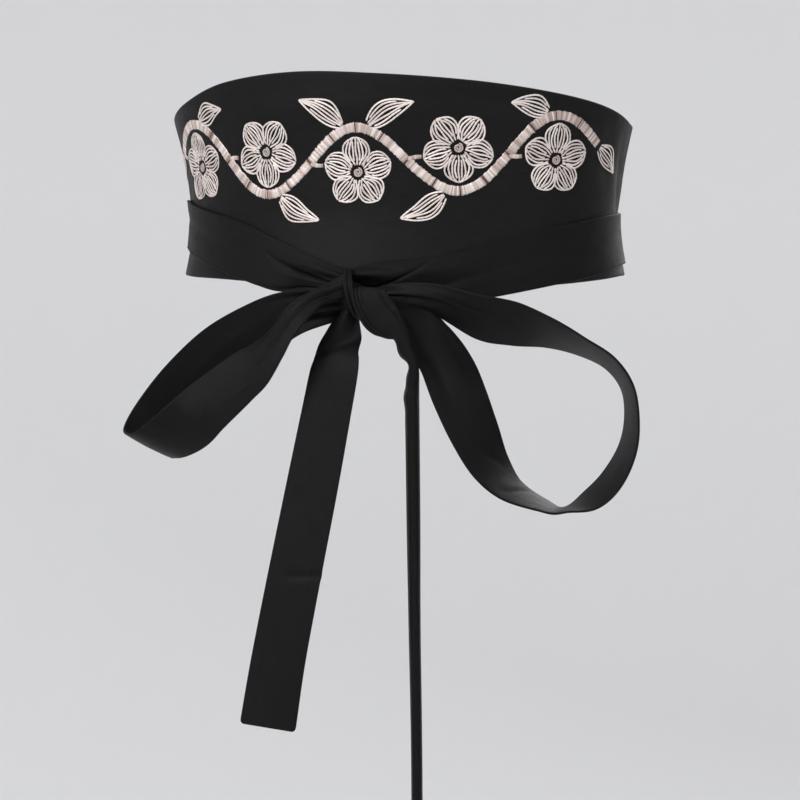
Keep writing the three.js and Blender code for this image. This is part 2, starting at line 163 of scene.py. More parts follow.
def satin(name, dark, light, rough, sheen):
    """Black satin: fine warp ribs and weaker weft ribs, long slubs along the warp, a soft crumple, and
    a low even sheen."""
    material = bpy.data.materials.new(name)
    material.use_nodes = True
    nodes, links = material.node_tree.nodes, material.node_tree.links
    shader = nodes["Principled BSDF"]
    shader.inputs["Specular IOR Level"].default_value = 0.07
    shader.inputs["Sheen Weight"].default_value = sheen
    shader.inputs["Sheen Roughness"].default_value = 0.42
    shader.inputs["Sheen Tint"].default_value = (0.86, 0.87, 0.92, 1)
    place = nodes.new("ShaderNodeUVMap")
    place.uv_map = "cloth"

    def noise(size, stretch, detail):
        """Noise with spots of a size in metres, longer along the warp."""
        scaled = nodes.new("ShaderNodeMapping")
        scaled.inputs["Scale"].default_value = (1 / (size * stretch), 1 / size, 1)
        links.new(place.outputs["UV"], scaled.inputs["Vector"])
        texture = nodes.new("ShaderNodeTexNoise")
        texture.inputs["Scale"].default_value = 1
        texture.inputs["Detail"].default_value = detail
        links.new(scaled.outputs["Vector"], texture.inputs["Vector"])
        return texture.outputs["Fac"]

    def ribs(direction, pitch):
        """A sine wave of a pitch in metres: a wave texture repeats every pi / 10 of its own units."""
        wave = nodes.new("ShaderNodeTexWave")
        wave.bands_direction = direction
        wave.inputs["Scale"].default_value = math.pi / 10 / pitch
        wave.inputs["Distortion"].default_value = 0.6
        wave.inputs["Detail Scale"].default_value = 0.3
        links.new(place.outputs["UV"], wave.inputs["Vector"])
        return wave.outputs["Fac"]

    def raised(height, distance, strength, below):
        """A bump of a height in metres, laid over the bump below it."""
        bump = nodes.new("ShaderNodeBump")
        bump.inputs["Distance"].default_value = distance
        bump.inputs["Strength"].default_value = strength
        links.new(height, bump.inputs["Height"])
        if below:
            links.new(below, bump.inputs["Normal"])
        return bump.outputs["Normal"]

    crumple = raised(noise(0.016, 1.6, 2), 0.0012, 0.5, None)
    slubs = raised(noise(0.0011, 9, 3), 0.00012, 0.55, crumple)
    warp = raised(ribs("Y", 0.00032), 0.00005, 0.6, slubs)
    weft = raised(ribs("X", 0.00042), 0.00004, 0.35, warp)
    links.new(weft, shader.inputs["Normal"])

    tone = nodes.new("ShaderNodeMix")
    tone.data_type = "RGBA"
    tone.inputs["A"].default_value = dark
    tone.inputs["B"].default_value = light
    links.new(noise(0.0016, 7, 4), tone.inputs["Factor"])
    links.new(tone.outputs["Result"], shader.inputs["Base Color"])
    gloss = nodes.new("ShaderNodeMapRange")
    gloss.inputs["To Min"].default_value = rough - 0.06
    gloss.inputs["To Max"].default_value = rough + 0.06
    links.new(noise(0.009, 2, 3), gloss.inputs["Value"])
    links.new(gloss.outputs["Result"], shader.inputs["Roughness"])
    return material


sash_satin = satin("sash_satin", (0.0044, 0.0044, 0.0046, 1), (0.0088, 0.0088, 0.0093, 1), 0.46, 0.010)

turned = np.linspace(-BACK_END, BACK_END, 4001)
round_waist = waist_point(turned, 0 * turned, 0 * turned)
arc = np.concatenate([[0], np.cumsum(np.linalg.norm(np.diff(round_waist, axis=0), axis=1))])
arc -= arc[-1] / 2


def arc_at(angle):
    """How far round the waist an angle is, in metres from centre front."""
    return np.interp(angle, turned, arc)


panel_s = edged(2 * arc[-1], PANEL_STEP, PANEL_WALL) - arc[-1]
panel_angle = np.interp(panel_s, arc, turned)
edges = at_key(PANEL_EDGES, panel_angle)
share = edged(PANEL_FLAT[0], PANEL_STEP, PANEL_WALL) / PANEL_FLAT[0]
panel_angle = np.broadcast_to(panel_angle[:, None], (len(panel_s), len(share)))
panel_height = edges[:, 2:] + (edges[:, 1:2] - edges[:, 2:]) * share
panel_lines = [(arc_at(a), h, arc_at(b), k, depth, width) for a, h, b, k, depth, width in PANEL_CREASES]
panel_lift = creased(panel_s[:, None], panel_height, panel_lines)
panel_middle = waist_point(panel_angle, panel_height, panel_lift - PANEL_WALL / 2)
from_edge = np.minimum(panel_height - edges[:, 2:], edges[:, 1:2] - panel_height)
from_end = (panel_s[-1] - np.abs(panel_s))[:, None]
panel_half = np.minimum(half_round(from_edge, PANEL_WALL), half_round(from_end, PANEL_WALL))
waist_panel = cloth("panel_cloth", panel_middle, panel_half, panel_s[:, None], panel_height)
waist_panel.data.materials.append(sash_satin)
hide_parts("waist_panel")
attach(waist_panel, "root")

# ---- embroidered scroll ----
# A running stem on the panel's front, in rose-gold twisted thread, with a round blossom in each bend and
# leaves on its outer side. The petals and leaves are rows of couched thread laid side by side, a
# blossom's heart is one thread coiled round, and the stem and twigs are satin stitch. It is a plain repeat.
THREAD = 0.00125
THREAD_SPACING = 0.0023
THREAD_STEP = 0.0006
TIE_DOWN_SPACING = 0.0024
SATIN_STITCH = 0.00080
SATIN_HEIGHT = 0.00060
PAD_GAP = 0.0002
BENDS = 5
BEND_LENGTH = 0.060
BEND_DEPTH = 0.020
STEM_HEIGHT, STEM_RISE = 0.026, 0.55
STEM_WIDTH = 0.0056
STEM_JOINTS = 4
TWIG_WIDTHS = (0.0030, 0.0022)
TWIG_GAP = 0.0014
PETALS = 5
PETAL_LENGTH, PETAL_WIDTH = 0.0170, 0.0165
HEART_RADIUS = 0.0034
HEART_INSET = 0.006  # from the line that the stem swings about
HEART_GAP = 0.0008
LEAF_LENGTH, LEAF_WIDTH = 0.030, 0.0130
LEAF_ASIDE, LEAF_CLEAR = 0.008, 0.003  # from the crest of the stem's bend


def on_panel(s, height, out):
    """A place on the creased face of the panel, how far round it is and how high, and out from it."""
    lift = creased(s, height, panel_lines)
    return waist_point(np.interp(s, arc, turned), height, out + lift)


def joined(name, parts):
    """One mesh of many closed parts: each is its points, its faces as rows of corners, where each point
    lies along and across its thread, and how light the thread is."""
    mesh = bpy.data.meshes.new(name)
    starts = np.cumsum([0] + [len(part[0]) for part in parts])
    faces = []
    for start, part in zip(starts, parts):
        for block in part[1]:
            faces += (block + start).tolist()
    mesh.from_pydata(np.concatenate([part[0] for part in parts]), [], faces)
    corner = np.zeros(len(mesh.loops), np.int32)
    mesh.loops.foreach_get("vertex_index", corner)
    place = np.concatenate([part[2] for part in parts])
    mesh.uv_layers.new(name="thread").data.foreach_set("uv", place[corner].astype(np.float32).ravel())
    light = np.concatenate([part[3] for part in parts])
    lightness = mesh.attributes.new("lightness", "FLOAT", "POINT")
    lightness.data.foreach_set("value", light.astype(np.float32))
    mesh.shade_smooth()
    piece = bpy.data.objects.new(name, mesh)
    bpy.context.scene.collection.objects.link(piece)
    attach(piece, "root")
    return piece


def couched(path, light):
    """A thread laid along a path on the panel: six-sided, flattened below, nipped in by each stitch that
    holds it down, and rounded off at both ends."""
    length = np.concatenate([[0], np.cumsum(np.linalg.norm(np.diff(path, axis=0), axis=1))])
    s = np.linspace(0, length[-1], max(4, round(length[-1] / THREAD_STEP)))
    laid = np.stack([np.interp(s, length, path[:, 0]), np.interp(s, length, path[:, 1])], -1)
    base = on_panel(laid[:, 0], laid[:, 1], 0)
    up = on_panel(laid[:, 0], laid[:, 1], 0.001) - base
    up /= np.linalg.norm(up, axis=-1, keepdims=True)
    side = np.cross(up, np.gradient(base, axis=0))
    side /= np.linalg.norm(side, axis=-1, keepdims=True)
    radius = THREAD / 2 * (1 - 0.22 * np.abs(np.cos(np.pi * s / TIE_DOWN_SPACING)) ** 6)
    radius = radius * np.sqrt(np.clip(np.minimum(s, s[-1] - s) / 0.0008, 0.12, 1))
    round_it = np.linspace(0, 2 * np.pi, 7)[:-1]
    beside, above = np.cos(round_it)[None, :, None], 0.42 * (1 + np.sin(round_it))[None, :, None]
    ring = side[:, None] * beside + up[:, None] * above
    points = base[:, None] + ring * radius[:, None, None]
    index = np.arange(len(s) * 6).reshape(-1, 6)
    rolled = np.roll(index, -1, axis=1)
    skin = np.stack([index[:-1], rolled[:-1], rolled[1:], index[1:]], -1).reshape(-1, 4)
    place = np.stack([np.repeat(s, 6), np.tile(round_it / 6.28, len(s)) * THREAD * 3], -1)
    return points.reshape(-1, 3), [skin, index[:1, ::-1], index[-1:]], place, np.full(len(s) * 6, light)


def couched_shape(start, direction, length, width, bend, bluntness, rng):
    """The threads of one petal or leaf. Each runs from its base to its tip at its own share of the half
    width. The width opens as a quarter sine from a part of itself at the base, and closes as one less a
    power of the way along: a low power gives a sharp tip and a high one a round tip. Inner threads stop
    where they crowd."""
    heading = np.radians(direction)
    ahead = np.array([np.cos(heading), np.sin(heading)])
    left = np.array([-np.sin(heading), np.cos(heading)])
    count = 2 * round(width / THREAD_SPACING / 2) + 1
    t = 1 - np.linspace(1, 0, 70) ** 1.5
    open_base = 0.18 + 0.16 * rng.random()
    swell = open_base + (1 - open_base) * np.sin(np.pi / 2 * np.minimum(t / 0.55, 1))
    swell = swell * (1 - t**bluntness)
    swell = swell / swell.max()
    threads = []
    for k, aside in enumerate(np.linspace(-1, 1, count)):
        room = width / (count - 1) * swell > (0.35, 1.0)[k % 2] * THREAD
        outer = abs(aside) > 0.99 or abs(aside) < 0.01
        way = t[room | outer]
        across = width / 2 * aside * swell[room | outer] + bend * length * np.sin(np.pi * way)
        across = across + 0.00025 * np.sin(9 * way + 6 * rng.random())
        path = np.array(start) + length * way[:, None] * ahead + across[:, None] * left
        threads.append(couched(path, 0.78 + 0.22 * rng.random()))
    return threads


def satin_stitch(row, rng):
    """The joints of one stem, which bows aside as half a sine. A joint is a pad of satin stitch: domed
    across, a ridge for each thread along, and ragged where the threads turn back at its edges. The row is
    its start, how far round and how high, its end, its bow, its width at each end and its joints."""
    s0, h0, s1, h1, bow, width0, width1, joints = row
    start, run = np.array([s0, h0]), np.array([s1 - s0, h1 - h0])
    length = np.hypot(*run)
    ahead, left = run / length, np.array([-run[1], run[0]]) / length
    pads = []
    for joint in range(joints):
        first, last = joint / joints * length + PAD_GAP, (joint + 1) / joints * length - PAD_GAP
        count = max(3, round((last - first) / SATIN_STITCH))
        along_it = np.linspace(first, last, count * 4 + 1)
        thread = np.minimum((np.arange(count * 4 + 1) / 4).astype(int), count - 1)
        way = along_it / length
        near_end = np.minimum(along_it - first, last - along_it)
        half_width = (width0 + (width1 - width0) * way) / 2 * (1 + 0.06 * np.exp(-near_end / 0.0014))
        ragged = 1 + (rng.random((2, count)) - 0.5)[:, thread] * 0.22
        v = np.linspace(-1, 1, 9)
        ragged = np.where(v[None] < 0, ragged[0][:, None], ragged[1][:, None])
        reach = ragged * half_width[:, None] * v[None]
        slope = bow * np.pi / length * np.cos(np.pi * way)[:, None]
        across = (left - slope * ahead) / np.hypot(1, slope)
        middle = start + way[:, None] * run + (bow * np.sin(np.pi * way))[:, None] * left
        flat = middle[:, None] + reach[..., None] * across[:, None]
        ridge = 0.50 + 0.50 * np.abs(np.sin(np.pi * np.arange(count * 4 + 1) / 4))
        dome = SATIN_HEIGHT * (1 - 0.85 * np.abs(v) ** 4)[None] * ridge[:, None]
        dome[[0, -1]] *= 0.3
        top = on_panel(flat[..., 0], flat[..., 1], dome)
        under = on_panel(flat[..., 0], flat[..., 1], 0 * dome)
        n, m = dome.shape
        index = np.arange(n * m).reshape(n, m)
        back = index + n * m
        lid = np.stack([index[:-1, :-1], index[1:, :-1], index[1:, 1:], index[:-1, 1:]], -1).reshape(-1, 4)
        rim = np.concatenate([index[:-1, 0], index[-1, :-1], index[:0:-1, -1], index[0, :0:-1]])
        behind = rim + n * m
        walls = np.stack([np.roll(rim, -1), rim, behind, np.roll(behind, -1)], -1)
        floor_it = np.stack([back[:-1, :-1], back[:-1, 1:], back[1:, 1:], back[1:, :-1]], -1).reshape(-1, 4)
        place = np.stack([np.broadcast_to(along_it[:, None], (n, m)), reach], -1).reshape(-1, 2)
        # Each thread's own random tone, darkened near the pad's two ends as painted shade at the joints.
        shade = 0.50 + 0.50 * rng.random(count)[thread] - 0.35 * np.exp(-((near_end / 0.0012) ** 2))
        shade = shade - 0.35 * np.clip((s0 + s1) / 2 / 0.1 - 0.55, 0, 1) * np.sin(along_it * 900) ** 2
        light = np.broadcast_to(shade[:, None], (n, m)).ravel()
        points = np.concatenate([top.reshape(-1, 3), under.reshape(-1, 3)])
        place, light = np.concatenate([place, place]), np.concatenate([light, light])
        pads.append((points, [lid, walls, floor_it], place, light))
    return pads


def stem_line(s):
    """The height of the line that the stem swings about: least at centre front, more by the square of
    the way round, so that it stays clear of the ties."""
    return STEM_HEIGHT + STEM_RISE * s**2


rng = np.random.default_rng(8)
shapes, pads = [], []
for bend in range(BENDS):
    middle = (bend - (BENDS - 1) / 2) * BEND_LENGTH
    side = 1 if bend % 2 == 0 else -1
    first, last = middle - BEND_LENGTH / 2, middle + BEND_LENGTH / 2
    heart = np.array([middle, stem_line(middle) - HEART_INSET * side])
    joint = np.array([first, stem_line(first)])
    towards = (joint - heart) / np.hypot(*(joint - heart))
    twig_end = heart + towards * (HEART_RADIUS + PETAL_LENGTH + TWIG_GAP)
    stem = (*joint, last, stem_line(last), side * BEND_DEPTH, STEM_WIDTH, STEM_WIDTH, STEM_JOINTS)
    twig = (*joint, *twig_end, -0.0008 * side, *TWIG_WIDTHS, 1)
    pads += satin_stitch(stem, rng) + satin_stitch(twig, rng)
    t = np.linspace(0, 1, 80)[:, None] ** 0.6
    coil = heart + (HEART_RADIUS - THREAD / 2) * t * np.hstack([np.cos(14 * t), np.sin(14 * t)])
    shapes.append(couched(coil, 0.62))
    for petal in range(PETALS):
        direction = 90 * side + 360 / PETALS * petal + 5 * (rng.random() - 0.5)
        heading = np.radians(direction)
        base = heart + (HEART_RADIUS + HEART_GAP) * np.array([np.cos(heading), np.sin(heading)])
        longer = 1 + 0.08 * (rng.random() - 0.5)
        shapes += couched_shape(base, direction, PETAL_LENGTH * longer, PETAL_WIDTH, 0, 6, rng)
    # The outer leaves are shorter and lie flatter, to stay inside the panel's top edge.
    lean, leaf_length = (74, 0.76 * LEAF_LENGTH) if bend in (0, BENDS - 1) else (56, LEAF_LENGTH)
    for hand in (-1, 1):
        if hand * middle > 0:
            continue
        direction = 90 * side - hand * side * (lean + 8 * rng.random())
        base = (middle + hand * LEAF_ASIDE, stem_line(middle) + side * (0.94 * BEND_DEPTH + LEAF_CLEAR))
        shapes += couched_shape(base, direction, leaf_length, LEAF_WIDTH, 0.08 * hand * side, 1.7, rng)
for hand in (-1, 1):
    end = hand * BENDS * BEND_LENGTH / 2
    base = (end + hand * 0.0022, stem_line(end) - 0.0018)
    shapes += couched_shape(base, 90 - hand * 126, 0.8 * LEAF_LENGTH, LEAF_WIDTH, 0.08 * hand, 1.7, rng)
embroidery_petals = joined("embroidery_petals_and_leaves", shapes)
embroidery_stem = joined("embroidery_stem", pads)

rose_gold = bpy.data.materials.new("rose_gold_thread")
rose_gold.use_nodes = True
nodes, links = rose_gold.node_tree.nodes, rose_gold.node_tree.links
shader = nodes["Principled BSDF"]
shader.inputs["Metallic"].default_value = 0.35
shader.inputs["Roughness"].default_value = 0.38
shader.inputs["Specular IOR Level"].default_value = 0.5
lightness = nodes.new("ShaderNodeAttribute")
lightness.attribute_name = "lightness"
ramp = nodes.new("ShaderNodeValToRGB")
ramp.color_ramp.elements[0].color = (0.10, 0.055, 0.045, 1)
ramp.color_ramp.elements[1].color = (0.74, 0.665, 0.635, 1)
middle_stop = ramp.color_ramp.elements.new(0.5)
middle_stop.color = (0.36, 0.275, 0.242, 1)
links.new(lightness.outputs["Fac"], ramp.inputs["Fac"])
links.new(ramp.outputs["Color"], shader.inputs["Base Color"])
place = nodes.new("ShaderNodeUVMap")
place.uv_map = "thread"
twist = nodes.new("ShaderNodeTexWave")
twist.bands_direction = "DIAGONAL"
twist.inputs["Scale"].default_value = math.pi / 10 / 0.0005
links.new(place.outputs["UV"], twist.inputs["Vector"])
bump = nodes.new("ShaderNodeBump")
bump.inputs["Distance"].default_value = 0.00012
bump.inputs["Strength"].default_value = 0.6
links.new(twist.outputs["Fac"], bump.inputs["Height"])
links.new(bump.outputs["Normal"], shader.inputs["Normal"])
embroidery_petals.data.materials.append(rose_gold)
embroidery_stem.data.materials.append(rose_gold)

# ---- ties round the waist ----
# Each tie is a tube of the same satin, turned and pressed flat, sewn on over the panel's far back end. It
# crosses the other one behind, comes round over the panel's lower part and is drawn together at the knot.
TIE_WIDTH = 0.034
TIE_WALL = 0.0016
TIE_STEP, TIE_STEP_ACROSS = 0.0016, 0.0009
SEAM_PLACE, SEAM_HALF_WIDTH, SEAM_DEPTH = 0.0021, 0.00035, 0.22
WRAP_FOLD = 0.0026
SEAM_GAP = 0.0003
LIE_GAP = 0.0006
OVER = LIE_GAP + TIE_WALL + LIE_GAP
# The ties' satin is the panel's satin painted darker: painted shade for the ties, which hang in more shade.
tie_satin_painted_shade = satin("tie_satin_painted_shade", (0.0031, 0.0031, 0.0033, 1), (0.0068, 0.0068, 0.0072, 1), 0.46, 0.009)

# angle, middle height, width, gap under the tie, depth of its folds
LEFT_WRAP = np.array([
    (-2, -0.0450, 0.0140, 0.0059, 1.0), (-7, -0.0430, 0.0175, 0.0027, 1.0),
    (-14, -0.0390, 0.0230, 0.0009, 0.7), (-22, -0.0350, 0.0310, LIE_GAP, 0.25),
    (-38, -0.0230, 0.0340, LIE_GAP, 0), (-60, -0.0115, 0.0315, LIE_GAP, 0),
    (-80, -0.0045, 0.0305, LIE_GAP, 0), (-118, -0.0080, 0.0315, LIE_GAP, 0),
    (-155, -0.0140, 0.0330, LIE_GAP, 0), (-180, 0.0050, 0.0350, LIE_GAP, 0),
    (-205, 0.0240, 0.0345, SEAM_GAP, 0), (-215, 0.0270, 0.0340, SEAM_GAP, 0),
])[::-1]
RIGHT_WRAP = np.array([
    (-1, -0.0448, 0.0110, 0.0039, 1.0), (1, -0.0440, 0.0145, 0.0037, 1.0), (9, -0.0440, 0.0210, 0.0022, 1.0),
    (17, -0.0448, 0.0260, 0.0009, 0.8), (25, -0.0436, 0.0297, 0.0007, 0.35),
    (33, -0.0395, 0.0330, LIE_GAP, 0.1), (52, -0.0306, 0.0345, LIE_GAP, 0),
    (67, -0.0248, 0.0344, LIE_GAP, 0), (85, -0.0181, 0.0318, LIE_GAP, 0), (118, -0.0140, 0.0315, LIE_GAP, 0),
    (149, -0.0150, 0.0330, LIE_GAP, 0), (156, -0.0120, 0.0335, OVER, 0), (180, 0.0050, 0.0350, OVER, 0),
    (204, 0.0230, 0.0345, OVER, 0), (211, 0.0260, 0.0340, SEAM_GAP, 0), (215, 0.0270, 0.0340, SEAM_GAP, 0),
])


def folds(v, rows):
    """Soft folds across a tie at each place v across it, 0 to 1: every row is a fold's place, half width
    and height, and the folds add up as bells."""
    return sum(height * np.exp(-(((v - place) / half_width) ** 2)) for place, half_width, height in rows)


def tie_thickness(v, width):
    """Half a tie's thickness across it: rounded edges, and a bell-shaped groove near one of them, where
    the seam is pressed."""
    d = np.minimum(v, 1 - v) * width
    groove = SEAM_DEPTH * np.exp(-(((v * width - SEAM_PLACE) / SEAM_HALF_WIDTH) ** 2))
    return half_round(d, TIE_WALL) * (0.9 - groove)


def tie_across():
    """Places across a tie, 0 to 1, closer together at its edges."""
    return edged(TIE_WIDTH, TIE_STEP_ACROSS, TIE_WALL) / TIE_WIDTH


def wrap(name, rows, knot_folds, creases):
    """A tie on the panel: the panel's own surface moved out, in folds that fade away from the knot."""
    first, last = rows[0, 0], rows[-1, 0]
    angle = np.linspace(first, last, 1201)
    row = at_key(rows, angle)
    line = waist_point(angle, row[:, 1], row[:, 3])
    length = np.concatenate([[0], np.cumsum(np.linalg.norm(np.diff(line, axis=0), axis=1))])
    s = edged(length[-1], TIE_STEP, TIE_WALL)
    row = at_key(rows, np.interp(s, length, angle))[:, None, :]
    v = tie_across()[None, :]
    fold = WRAP_FOLD * row[..., 4] * folds(v, knot_folds)
    lift = creased(s[:, None], (v - 0.5) * TIE_WIDTH, creases)
    out = row[..., 3] + TIE_WALL / 2 + fold + lift
    height = row[..., 1] + row[..., 2] * (v - 0.5)
    middle = waist_point(row[..., 0] + 0 * v, height, out)
    from_end = np.minimum(s, s[-1] - s)[:, None]
    half = np.minimum(tie_thickness(v, row[..., 2]), half_round(from_end, TIE_WALL))
    piece = cloth(name, middle, half, s[:, None], (v - 0.5) * TIE_WIDTH)
    piece.data.materials.append(tie_satin_painted_shade)
    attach(piece, "root")
    return piece


tie_left = wrap(
    "tie_left_round", LEFT_WRAP,
    [(0.30, 0.13, 0.9), (0.72, 0.20, 1.2)],
    [(0.398, 0.0065, 0.470, -0.0090, 0.0019, 0.0015), (0.404, -0.0020, 0.474, -0.0120, -0.0008, 0.0020),
     (0.394, -0.0170, 0.476, -0.0105, 0.0014, 0.0010), (0.412, -0.0180, 0.478, -0.0142, 0.0010, 0.0009),
     (0.436, 0.0120, 0.480, 0.0040, 0.0010, 0.0016), (0.24, 0.009, 0.41, -0.007, 0.0006, 0.0040),
     (0.30, -0.0140, 0.38, -0.0060, 0.0004, 0.0035), (0.15, -0.005, 0.21, 0.009, 0.0005, 0.0040)],
)
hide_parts("tie_left_wrap")
tie_right = wrap(
    "tie_right_round", RIGHT_WRAP,
    [(0.07, 0.06, 0.5), (0.72, 0.22, 1.2)],
    [(-0.020, -0.0360, 0.051, 0.0160, 0.0021, 0.0014), (-0.008, -0.0185, 0.064, -0.0030, 0.0013, 0.0009),
     (-0.006, -0.0172, 0.070, -0.0068, -0.0010, 0.0012), (-0.004, -0.0195, 0.076, -0.0098, 0.0013, 0.0009),
     (-0.008, -0.0050, 0.024, -0.0135, 0.0024, 0.0020), (-0.025, 0.0090, 0.039, -0.0010, -0.0030, 0.0055),
     (0.000, 0.0150, 0.030, 0.0080, 0.0008, 0.0012),
     (0.030, -0.0050, 0.123, 0.0020, 0.0005, 0.0024), (0.075, 0.0080, 0.170, -0.0080, 0.0005, 0.0048),
     (0.220, 0.0060, 0.280, -0.0080, 0.0005, 0.0040)],
)
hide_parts("tie_right_wrap")

# ---- bow loops ----
# Each loop is a doubled-over stretch of tie. Both of its ends are gathered into the knot, and between
# them the cloth bends under its own weight.

# x, y, z of the ribbon's middle, lean of its width from the wearer's left up, turn of that edge forward,
# width, depth of its folds
LOOP_LEFT = np.array([
    (-0.0040, -0.1165, -0.0588, 101, 30, 0.0200, 1.4), (-0.0350, -0.1185, -0.0644, 131, 28, 0.0300, 0.8),
    (-0.0582, -0.1160, -0.0749, 145, 17, 0.0340, 0), (-0.0824, -0.1120, -0.0877, 147, 14, 0.0340, 0),
    (-0.1050, -0.1100, -0.1073, 151, 15, 0.0340, 0), (-0.1206, -0.1120, -0.1270, 152, 20, 0.0340, 0),
    (-0.1252, -0.1225, -0.1418, 148, 30, 0.0340, 0), (-0.1153, -0.1325, -0.1433, 145, 41, 0.0340, 0),
    (-0.0970, -0.1370, -0.1335, 138, 22, 0.0340, 0), (-0.0830, -0.1375, -0.1215, 134, -4, 0.0340, 0),
    (-0.0625, -0.1375, -0.1050, 137, -20, 0.0340, 0), (-0.0515, -0.1385, -0.0970, 139, -30, 0.0340, 0),
    (-0.0410, -0.1385, -0.0855, 143, -39, 0.0280, 0.4), (-0.0345, -0.1380, -0.0760, 145, -40, 0.0230, 0.6),
    (-0.0260, -0.1365, -0.0645, 143, -37, 0.0210, 0.8), (-0.0165, -0.1315, -0.0564, 127, -32, 0.0125, 1),
    (-0.0082, -0.1262, -0.0522, 107, -16, 0.0110, 1), (-0.0014, -0.1250, -0.0492, 97, -4, 0.0125, 1),
    (0.0030, -0.1225, -0.0478, 92, 0, 0.0130, 1),
])
LOOP_RIGHT = np.array([
    (0.0100, -0.1150, -0.0570, 90, 12, 0.0060, 1.8), (0.0203, -0.1145, -0.0555, 88, 20, 0.0090, 1.8),
    (0.0370, -0.1130, -0.0560, 80, 36, 0.0135, 1.4),
    (0.0550, -0.1100, -0.0595, 70, 39, 0.0225, 0.6), (0.0790, -0.1060, -0.0680, 66, 34, 0.0330, 0),
    (0.0970, -0.1020, -0.0716, 64, 37, 0.0340, 0), (0.1159, -0.0981, -0.0766, 52, 52, 0.0340, 0),
    (0.1348, -0.0920, -0.0846, 36, 63, 0.0340, 0), (0.1517, -0.0868, -0.0945, 23, 66, 0.0340, 0),
    (0.1620, -0.0847, -0.1089, 9, 66, 0.0340, 0), (0.1646, -0.0839, -0.1270, -5, 64, 0.0340, 0),
    (0.1620, -0.0848, -0.1461, -18, 60, 0.0340, 0), (0.1530, -0.0870, -0.1640, -30, 57, 0.0340, 0),
    (0.1410, -0.0910, -0.1760, -38, 62, 0.0340, 0), (0.1260, -0.0956, -0.1817, -60, 86, 0.0340, 0),
    (0.1136, -0.0992, -0.1784, 246, 84, 0.0340, 0), (0.0956, -0.1044, -0.1688, 226, 72, 0.0340, 0),
    (0.0840, -0.1070, -0.1550, 219, 58, 0.0340, 0), (0.0750, -0.1100, -0.1350, 214, 42, 0.0340, 0),
    (0.0670, -0.1120, -0.1150, 212, 33, 0.0340, 0), (0.0582, -0.1089, -0.0962, 211, 39, 0.0340, 0),
    (0.0472, -0.1086, -0.0800, 203, 40, 0.0300, 0.6), (0.0385, -0.1095, -0.0660, 208, 42, 0.0200, 1.4),
    (0.0250, -0.1165, -0.0615, 216, 30, 0.0120, 1.6), (0.0130, -0.1175, -0.0600, 214, 20, 0.0080, 1.6),
])


def carried(rows):
    """A tie carried through rows of places. Returns how far along each station is, the points of its
    middle line, the direction across it, its normal and the rows' other columns."""
    lean, turn = np.radians(rows[:, 3]), np.radians(rows[:, 4])
    aim = np.stack([np.cos(turn) * np.cos(lean), -np.sin(turn), np.cos(turn) * np.sin(lean)], -1)
    table = np.concatenate([rows[:, :3], aim, rows[:, 5:]], 1)
    u = np.linspace(0, len(rows) - 1, 2401)
    fine = along(table, u)
    length = np.concatenate([[0], np.cumsum(np.linalg.norm(np.diff(fine[:, :3], axis=0), axis=1))])
    s = edged(length[-1], TIE_STEP, TIE_WALL)
    place = along(table, np.interp(s, length, u))
    ahead = along(table, np.clip(np.interp(s, length, u) + 0.002, 0, len(rows) - 1))[:, :3]
    behind = along(table, np.clip(np.interp(s, length, u) - 0.002, 0, len(rows) - 1))[:, :3]
    way = ahead - behind
    way /= np.linalg.norm(way, axis=-1, keepdims=True)
    across = place[:, 3:6] - way * np.sum(place[:, 3:6] * way, -1, keepdims=True)
    across /= np.linalg.norm(across, axis=-1, keepdims=True)
    return s, place[:, :3], across, np.cross(way, across), place[:, 6:]


def ribbon(
    name, rows, start_folds, end_folds, cup, creases, fold_depth=0.0030, corner=0
):
    """A free stretch of tie: its folds at the start pass into those at its end, each fading away from
    the knot. Across it there is a slight cup, and it has creases of its own. Where corner isn't 0, the
    width closes at the end as a quarter circle of that radius on each side."""
    s, centre, across, normal, rest = carried(rows)
    v = tie_across()[None, :]
    width, gather = rest[:, :1], rest[:, 1:2]
    if corner:
        near = np.clip(1 - (s[-1] - s) / corner, 0, 1)[:, None]
        width = width - 2 * corner * (1 - np.sqrt(1 - near**2))
    share = (s / s[-1])[:, None]
    out = fold_depth * gather * (folds(v, start_folds) * (1 - share) + folds(v, end_folds) * share - 0.5)
    out = out + cup * width / width.max() * (1 - (2 * v - 1) ** 2)
    out = out + creased(s[:, None], (v - 0.5) * TIE_WIDTH, creases)
    aside = (width * (v - 0.5))[..., None]
    middle = centre[:, None] + across[:, None] * aside + normal[:, None] * out[..., None]
    from_end = np.minimum(s, s[-1] - s)[:, None]
    half = np.minimum(tie_thickness(v, width), half_round(from_end, TIE_WALL))
    piece = cloth(name, middle, half, s[:, None], (v - 0.5) * TIE_WIDTH)
    piece.data.materials.append(tie_satin_painted_shade)
    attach(piece, "root")
    return piece


